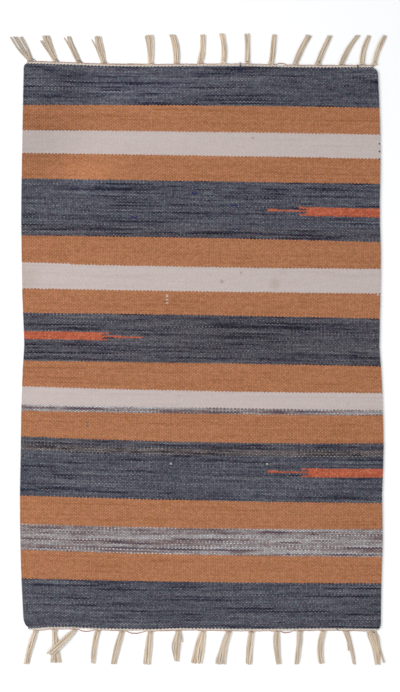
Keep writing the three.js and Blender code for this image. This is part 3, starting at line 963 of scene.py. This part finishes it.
def tassel_lines(end, number, tassel, warps, draw):
    """The warp ends of one tassel, from inside the cloth over the knot to their tips."""
    count = len(warps)
    root = tassel.line[0] + CLOTH_MIDDLE
    side = np.sign(warps - root)
    away = np.abs(warps - root)
    rank = np.zeros(count)
    for s in (-1, 1):
        rank[side == s] = np.argsort(np.argsort(away[side == s]))
    lane = LANE["nearest"] + LANE["step"] * rank
    level = LANE["lowest"] + LANE["layer"] * (rank % 2) + draw.uniform(0, 0.3, count)
    order = (np.arange(count) + 0.5) / count * 2 - 1
    layer = draw.permutation(np.linspace(-1, 1, count))
    layer = layer * np.sqrt(1 - order**2 * 0.9)

    knot_across = root + order * tassel.knot
    knot_height = KNOT["middle"] + layer * KNOT["half_height"]
    turn = np.minimum(1.4, 0.3 * away)

    # Out of the cloth, along its edge in a lane of their own, and up to the knot.
    places = [
        (warps, -3.5, IN_CLOTH),
        (warps, 0.0, IN_CLOTH),
        (warps - side * turn, lane * 0.8, (IN_CLOTH + level) / 2),
        (warps - side * np.minimum(3.5, 0.6 * away), lane, level),
        (root + side * np.minimum(0.5 * away, 5.5), lane * 0.8 + 0.8, level),
        (knot_across * 0.9 + 0.1 * warps, KNOT["out"] - 2.4, (level + knot_height) / 2),
        (knot_across, KNOT["out"], knot_height),
    ]
    controls = [along_edge(end, *place) for place in places]
    girths = [GIRTH["drawn"]] * 5 + [GIRTH["knotted"]] * 2

    # Beyond the knot the yarns spread, turn a little round each other and end unevenly.
    roll = draw.uniform(-1.1, 1.1)
    reach = tassel.reach - draw.uniform(0, RAGGED, count) ** 1.2
    phase = draw.uniform(0, math.tau, (2, count))
    stray = np.zeros(count)
    stray_from = np.zeros(count)
    for at_end, at_tassel, yarns, start, aside_by, shorter in STRAYS:
        if (at_end, at_tassel) == (end, number + 1):
            outer = np.argsort(order * -np.sign(aside_by))[:yarns]
            stray[outer] = aside_by * (1 + 0.2 * np.arange(yarns))
            stray_from[outer] = start
            reach[outer] -= shorter
    base = end_up(end, root) * end + KNOT["out"]
    loose = GIRTH["loose"] * np.clip(1.35 * np.mean(tassel.wide) / count, 1, 1.8)
    for share in BEYOND_KNOT:
        opened = min(1, 0.6 + 3 * share)
        half_width = (np.interp(share, (0.1, 0.5, 1), tassel.wide) / 2 - loose) * opened
        angle = roll * share
        a = order * math.cos(angle) - layer * math.sin(angle)
        b = layer * math.cos(angle) + order * math.sin(angle)
        centre = CLOTH_MIDDLE + part_way(tassel.line, share)
        wander = 0.45 * np.sin(phase[0] + 6 * share) * min(1, 3 * share)
        fork = np.sign(order) * tassel.fork * max(0, share - 0.35) ** 1.5 * 2
        past = np.clip((share - stray_from) / (1 - stray_from), 0, 1)
        across = centre + a * half_width + wander + fork + stray * past**1.5
        lowest = loose + tassel.carried * min(1, 2 * share)
        thick = (1 - share) * THICK["knot"] + share * THICK["tip"]
        height = lowest + (b + 1) / 2 * thick * (1 + 0.15 * np.sin(phase[1] + 5 * share))
        length = (reach - KNOT["out"]) * share
        controls.append(np.stack([across, end * (base + length), height], axis=-1))
        girths.append(0.8 * loose if share == 1 else loose)
    return np.stack(controls, axis=1), np.tile(girths, (count, 1))


def knot_lines(end, tassel, draw):
    """The strands that go round a tassel's root and make its knot."""
    root = tassel.line[0] + CLOTH_MIDDLE
    turns = np.linspace(-WRAP["turns"] / 2, WRAP["turns"] / 2, 11)
    size = draw.uniform(*WRAP["size"])
    slant = draw.choice([-1, 1]) * draw.uniform(*WRAP["slant"])
    strands = []
    for strand in range(WRAP["strands"]):
        place = (strand - (WRAP["strands"] - 1) / 2) * WRAP["step"]
        tuck = np.clip((np.abs(turns) - TUCK["from"]) / TUCK["over"], 0, 1)
        half_width = tassel.knot + WRAP["past"]
        half_width = half_width * size * (1 - 0.06 * strand) * (1 - TUCK["in"] * tuck)
        across = root + half_width * np.sin(math.tau * turns)
        round_height = WRAP["half_height"] * size * (1 - TUCK["down"] * tuck)
        height = KNOT["middle"] + 0.1 + round_height * np.cos(math.tau * turns)
        out = KNOT["out"] + place + slant * turns
        strands.append(along_edge(end, across, out, np.maximum(height, WRAP["lowest"])))
    return np.stack(strands), np.full((WRAP["strands"], len(turns)), WRAP["girth"])


def heading_lines(end):
    """Cotton yarns along the end of the weave, over one warp end and under the next. The first
    goes in between the teeth that the last dark pick makes."""
    last_pick = 1 if end > 0 else PICKS
    warp = np.arange(2 * WARPS - 1) / 2
    across = np.interp(warp, np.arange(WARPS), crest_across[last_pick] / MM)
    tooth = np.cos(math.pi * (last_pick + warp))
    rows = []
    for out, sway in zip(HEADING["rows"], HEADING["sway"]):
        height = HEADING["height"] - HEADING["dip"] * tooth
        rows.append(along_edge(end, across, out + sway * tooth, height))
        tooth = -tooth
    return np.stack(rows), np.full((len(rows), len(warp)), HEADING["girth"])


def tie_thread(end, tassels):
    """The thin thread along the outer side of the drawn warps."""
    first = tassels[0].line[0] + CLOTH_MIDDLE
    last = tassels[-1].line[0] + CLOTH_MIDDLE
    across = np.arange(first, last, 1.5)
    out = TIE["out"] + 0.25 * np.sin(across / 5.5) + 0.2 * np.sin(across / 1.9 + 2)
    girth = np.full(len(across), TIE["girth"])
    for start, stop, most in SAGS[end]:
        share = (across - CLOTH_MIDDLE - start) / (stop - start)
        hangs = np.sin(math.pi * np.clip(share, 0, 1))
        out += most * hangs
        girth += 0.4 * hangs
    roots = np.array([tassel.line[0] + CLOTH_MIDDLE for tassel in tassels])
    to_knot = np.abs(across[:, None] - roots).min(axis=1)
    on_knot = np.exp(-((to_knot / 3.4) ** 4))
    height = TIE["height"] + 0.3 * np.sin(across / 3.1) + (TIE["over_knot"] - TIE["height"]) * on_knot
    return along_edge(end, across, out + on_knot, height)[None], girth[None]


# Loose ends of dark weft yarn over the cloth's ends, and short dark strands of painted shade in the
# eyes of some knots: at which end, where each starts and stops, from the middle and out from the
# edge, its heights and its girth.
BITS = [
    ("Weft", 1, (76.4, -4.3), (76.0, 8.0), (4.3, 5.4, 4.2, 1.4), 0.8),
    ("Weft", 1, (305.5, -2.5), (304.0, 5.0), (4.5, 5.6, 5.0, 3.4), 1.1),
    ("Stained", 1, (-331, 9.0), (-321, 5.0), (4.8, 5.2, 2.6, 0.8), 0.75),
    ("Stained", 1, (-284, 8.4), (-277, 4.8), (4.6, 5.5, 4.4, 2.4), 0.75),
    ("Stained", 1, (-240, 7.8), (-232, 5.8), (4.8, 5.6, 4.6, 2.2), 0.7),
    ("Stained", 1, (-190, 6.8), (-186, 5.8), (4.8, 5.6, 5.5, 4.6), 0.5),
    ("Stained", 1, (87, 8.4), (93, 6.4), (4.6, 5.6, 5.5, 4.4), 0.55),
    ("Stained", 1, (229, 13.0), (231, 8.0), (3.8, 4.9, 5.3, 4.8), 0.5),
    ("Weft", -1, (265.6, 0.0), (265.6, 3.8), (4.2, 5.0, 4.2, 2.2), 0.8),
    ("Stained", -1, (333, 4.2), (338, 6.4), (4.8, 5.6, 5.4, 4.4), 0.75),
]


def bit_line(end, start, stop, heights, girth):
    """One such bit, bowed a little outwards."""
    share = np.linspace(0, 1, 7)
    across, out = (np.interp(share, (0, 1), ends) for ends in zip(start, stop))
    out += 0.9 * np.sin(math.pi * share)
    height = np.interp(share, np.linspace(0, 1, 4), heights)
    girths = girth * np.interp(share, (0, 0.3, 0.7, 1), (0.6, 1, 1, 0.6))
    return along_edge(end, across + CLOTH_MIDDLE, out, height)[None], girths[None]


def plied_yarn_tree():
    """Lines with a girth at each point, made round yarns."""
    inputs = {"Geometry": "NodeSocketGeometry", "Sides": "NodeSocketInt"}
    inputs |= dict.fromkeys(YARN_KINDS, "NodeSocketMaterial")
    outputs = {"Geometry": "NodeSocketGeometry"}
    tree, given, made = new_group("GeometryNodeTree", "plied_yarn", inputs, outputs)
    line = add(tree, "GeometryNodeMeshToCurve", {"Mesh": given.outputs["Geometry"]})
    girth = add(tree, "GeometryNodeInputNamedAttribute", {"Name": "girth"}, data_type="FLOAT")
    inputs = {"Resolution": given.outputs["Sides"], "Radius": 1.0}
    ring = add(tree, "GeometryNodeCurvePrimitiveCircle", inputs)
    inputs = {"Geometry": ring.outputs["Curve"], "Name": "around"}
    kinds = {"data_type": "FLOAT_VECTOR", "domain": "POINT"}
    marked = add(tree, "GeometryNodeStoreNamedAttribute", inputs, **kinds)
    spot = add(tree, "GeometryNodeInputPosition")
    tree.links.new(spot.outputs["Position"], marked.inputs["Value"])
    inputs = {"Curve": line.outputs["Curve"], "Profile Curve": marked.outputs["Geometry"]}
    inputs |= {"Scale": girth.outputs["Attribute"], "Fill Caps": True}
    tube = add(tree, "GeometryNodeCurveToMesh", inputs)
    smooth = add(tree, "GeometryNodeSetShadeSmooth", {"Geometry": tube.outputs["Mesh"]})
    real = add(tree, "GeometryNodeRealizeInstances", {"Geometry": smooth.outputs["Geometry"]})
    kind = add(tree, "GeometryNodeInputNamedAttribute", {"Name": "kind"}, data_type="FLOAT")
    geometry = real.outputs["Geometry"]
    for number, name in enumerate(YARN_KINDS):
        inputs = {"Geometry": geometry, "Material": given.outputs[name]}
        if number > 0:
            inputs["Selection"] = maths(tree, "COMPARE", kind.outputs["Attribute"], number, 0.5)
        geometry = add(tree, "GeometryNodeSetMaterial", inputs).outputs["Geometry"]
    tree.links.new(geometry, made.inputs["Geometry"])
    return tree


def plies_group():
    """Two plies round a yarn, from its own attributes: place along it, round it, and its number."""
    number = "NodeSocketFloat"
    tree, given, made = new_group(
        "ShaderNodeTree",
        "yarn_plies",
        {"Twist": number},
        dict.fromkeys(("Ply", "Own", "Patch", "Fibre"), number),
    )
    around = add(tree, "ShaderNodeAttribute", attribute_name="around").outputs["Vector"]
    around = add(tree, "ShaderNodeSeparateXYZ", {"Vector": around})
    along, own = attribute(tree, "along"), attribute(tree, "number")
    turn = maths(tree, "ARCTAN2", around.outputs["Y"], around.outputs["X"])
    twist = maths(tree, "MULTIPLY", along, given.outputs["Twist"])
    phase = maths(tree, "MULTIPLY_ADD", turn, 2.0, twist)
    ply = maths(tree, "SINE", maths(tree, "MULTIPLY", phase, 0.5))
    chance = add(tree, "ShaderNodeTexWhiteNoise", {"W": own}, noise_dimensions="1D")
    patch = vector(tree, maths(tree, "MULTIPLY", along, 0.06), own)
    aside = maths(tree, "MULTIPLY_ADD", own, 9.0, maths(tree, "MULTIPLY", turn, 1.6))
    fibre = vector(tree, maths(tree, "MULTIPLY", along, 0.35), aside)
    results = {
        "Ply": maths(tree, "ABSOLUTE", ply),
        "Own": chance.outputs["Value"],
        "Patch": noise(tree, patch),
        "Fibre": noise(tree, fibre, scale=1.5, detail=3.0),
    }
    give(tree, made, results)
    return tree


yarn_plies = plies_group()
YARN_TONES = (0.2, 0.5, 0.8)  # where a yarn's dark, middle and light colours lie
GROOVE_SHADE = (0.3, 0.2, 0.14, 1)
PALE_COTTON = (224, 215, 206)


def yarn_material(name, tones, twist):
    material, tree, shader = new_material(name)
    plies = add(tree, "ShaderNodeGroup", node_tree=yarn_plies)
    plies.inputs["Twist"].default_value = twist
    own = maths(tree, "MULTIPLY_ADD", plies.outputs["Own"], 0.36, 0.07)
    patch = maths(tree, "MULTIPLY_ADD", plies.outputs["Patch"], 0.35, own)
    tone = maths(tree, "MULTIPLY_ADD", plies.outputs["Fibre"], 0.25, patch)
    colour = tone_ramp(tree, tone, list(zip(YARN_TONES, tones)))
    deep = maths(tree, "MULTIPLY", maths(tree, "SUBTRACT", 1.0, plies.outputs["Ply"]), 0.6)
    colour = tint_mix(tree, deep, colour, GROOVE_SHADE, "MULTIPLY")
    pale = maths(tree, "MULTIPLY", attribute(tree, "pale"), 0.75)
    colour = tint_mix(tree, pale, colour, srgb(*PALE_COTTON))
    clean = grey(tree, maths(tree, "SUBTRACT", 1.0, attribute(tree, "dull")))
    colour = tint_mix(tree, 1.0, colour, clean, "MULTIPLY")
    tree.links.new(colour, shader.inputs["Base Color"])
    shader.inputs["Roughness"].default_value = 0.9
    shader.inputs["Specular IOR Level"].default_value = 0.25
    shader.inputs["Sheen Weight"].default_value = 0.15
    raised = maths(tree, "MULTIPLY_ADD", plies.outputs["Fibre"], 0.4, plies.outputs["Ply"])
    bump = add(tree, "ShaderNodeBump", {"Strength": 0.6, "Distance": 0.2 * MM, "Height": raised})
    tree.links.new(bump.outputs["Normal"], shader.inputs["Normal"])
    return material


YARN_KINDS = {
    "Cotton": yarn_material("undyed_cotton", [(170, 142, 114), (224, 207, 184), (242, 231, 215)], 1.6),
    "Thread": yarn_material("brown_thread", [(112, 66, 52), (170, 116, 97), (204, 156, 138)], 4.0),
    "Weft": yarn_material("dark_weft_end", [(26, 24, 40), (52, 50, 68), (84, 84, 100)], 3.0),
    # Short dark strands in the knots' eyes: painted shade.
    "Stained": yarn_material("painted_knot_shade", [(66, 54, 36), (96, 82, 58), (132, 116, 90)], 3.0),
}
plied_yarn = plied_yarn_tree()


def fringe(name, end, tassels, seed):
    """All the yarns of one end as a closed piece."""
    draw = np.random.default_rng(seed)
    edge_row = 1 if end > 0 else PICKS
    warps = crest_across[edge_row] / MM
    roots = np.array([tassel.line[0] + CLOTH_MIDDLE for tassel in tassels])
    mixed_up = draw.uniform(-MIXED_UP, MIXED_UP, len(warps))
    nearest = np.abs((warps + mixed_up)[:, None] - roots).argmin(axis=1)
    groups = []
    for number, tassel in enumerate(tassels):
        yarns = tassel_lines(end, number, tassel, warps[nearest == number], draw)
        groups.append(("Cotton", 0, tassel.dull, yarns))
        groups.append(("Cotton", 0, tassel.dull, knot_lines(end, tassel, draw)))
    groups.append(("Cotton", 1, 0, heading_lines(end)))
    groups.append(("Thread", 0, 0, tie_thread(end, tassels)))
    groups += [(kind, 0, 0, bit_line(end, *bit)) for kind, at_end, *bit in BITS if at_end == end]

    points, edges = [], []
    columns = {name: [] for name in ("girth", "along", "number", "kind", "pale", "dull")}
    start = 0
    for kind, pale, dull, (controls, girth) in groups:
        paths = smooth_lines(np.concatenate([controls, girth[..., None]], axis=-1), 2)
        for number, path in enumerate(paths, len(columns["number"])):
            path[:, 2] = np.maximum(path[:, 2], path[:, 3] + ABOVE_FLOOR)
            steps = np.linalg.norm(np.diff(path[:, :3], axis=0), axis=1)
            points.append(path[:, :3] * MM)
            values = {
                "girth": path[:, 3] * MM,
                "along": np.concatenate([[0], np.cumsum(steps)]),
                "number": number + 0.5,
                "kind": list(YARN_KINDS).index(kind),
                "pale": pale,
                "dull": dull,
            }
            for label, value in values.items():
                columns[label].append(np.broadcast_to(value, len(path)))
            index = np.arange(start, start + len(path))
            edges.append(np.stack([index[:-1], index[1:]], axis=-1))
            start += len(path)

    mesh = bpy.data.meshes.new(name)
    mesh.from_pydata(np.concatenate(points), np.concatenate(edges).tolist(), [])
    for label, values in columns.items():
        point_values(mesh, label, np.concatenate(values))
    piece = put_in_scene(name, mesh)
    modifier = piece.modifiers.new("yarns", "NODES")
    modifier.node_group = plied_yarn
    for item in plied_yarn.interface.items_tree:
        if item.name in ("Sides", *YARN_KINDS):
            modifier[item.identifier] = YARN_KINDS.get(item.name, YARN_SIDES)
    bpy.context.view_layer.update()
    graph = bpy.context.evaluated_depsgraph_get()
    made = bpy.data.meshes.new_from_object(piece.evaluated_get(graph))
    piece.modifiers.remove(modifier)
    piece.data = made
    return piece


FRINGES = [
    ("knotted_fringe_top", "fringe_top", 1, TOP_TASSELS, 31),
    ("knotted_fringe_bottom", "fringe_bottom", -1, BOTTOM_TASSELS, 32),
]
fringes = []
for name, node, end, tassels, seed in FRINGES:
    piece = fringe(name, end, tassels, seed)
    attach(piece, "root")
    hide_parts(node)
    fringes.append(piece)

# The fringes lie against the first and the last band of the cloth.
beside = {bands[0].name: fringes[:1], bands[-1].name: fringes[1:]}
for piece in bands:
    low = np.min([v.co for v in piece.data.vertices], axis=0)
    high = np.max([v.co for v in piece.data.vertices], axis=0)
    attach(piece, "root")
    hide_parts("ground")
    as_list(beside.get(piece.name, []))


# The floor, the light and the view: a pale floor under soft studio light, seen from straight
# above the middle of the rug.
material, tree, shader = new_material("pale_floor")
place = add(tree, "ShaderNodeTexCoord").outputs["Object"]
mottle = noise(tree, place, scale=3.0, detail=3.0)
shade = grey(tree, maths(tree, "MULTIPLY_ADD", mottle, 0.02, 0.94))
tree.links.new(shade, shader.inputs["Base Color"])
shader.inputs["Roughness"].default_value = 0.9
FLOOR_HALF = 8  # in metres
corners = [(x * FLOOR_HALF, y * FLOOR_HALF, 0) for x, y in ((-1, -1), (1, -1), (1, 1), (-1, 1))]
mesh = bpy.data.meshes.new("floor")
mesh.from_pydata(corners, [], [(0, 1, 2, 3)])
mesh.materials.append(material)
floor = put_in_scene("floor", mesh)
floor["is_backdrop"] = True

world = bpy.data.worlds.new("studio")
world.use_nodes = True
sky = world.node_tree.nodes["Background"]
sky.inputs["Color"].default_value = (0.95, 0.97, 1.0, 1)
sky.inputs["Strength"].default_value = 0.5
bpy.context.scene.world = world

# Each light's name, place, size and power.
LIGHTS = [
    ("key", (-2.1, 0.3, 2.5), 2.2, 76),
    ("fill", (1.2, -1.9, 2.6), 2.6, 35),
]
for name, place, size, power in LIGHTS:
    lamp = bpy.data.lights.new(name, "AREA")
    lamp.shape = "SQUARE"
    lamp.size = size
    lamp.energy = power
    light = put_in_scene(name, lamp)
    light.location = place
    light.rotation_euler = (-light.location).to_track_quat("-Z", "Y").to_euler()

# The photo is 692 pixels high and one pixel is 1.944 mm on the cloth.
PHOTO_HEIGHT = 692 * 1.944 * MM
PHOTO_MIDDLE = (2.3 * MM, 4.3 * MM)  # in this frame
SENSOR = 36
LENS = 85
camera_data = bpy.data.cameras.new("camera")
camera_data.lens = LENS
camera_data.sensor_width = SENSOR
camera = put_in_scene("camera", camera_data)
camera.location = (*PHOTO_MIDDLE, PHOTO_HEIGHT * LENS / SENSOR + CLOTH_THICKNESS)
bpy.context.scene.camera = camera
bpy.context.scene.view_settings.view_transform = "Standard"

visual_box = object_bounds()
boxes = {"cad": cad_box, "visual": visual_box}
{name: [list(corner) for corner in box] for name, box in boxes.items()}
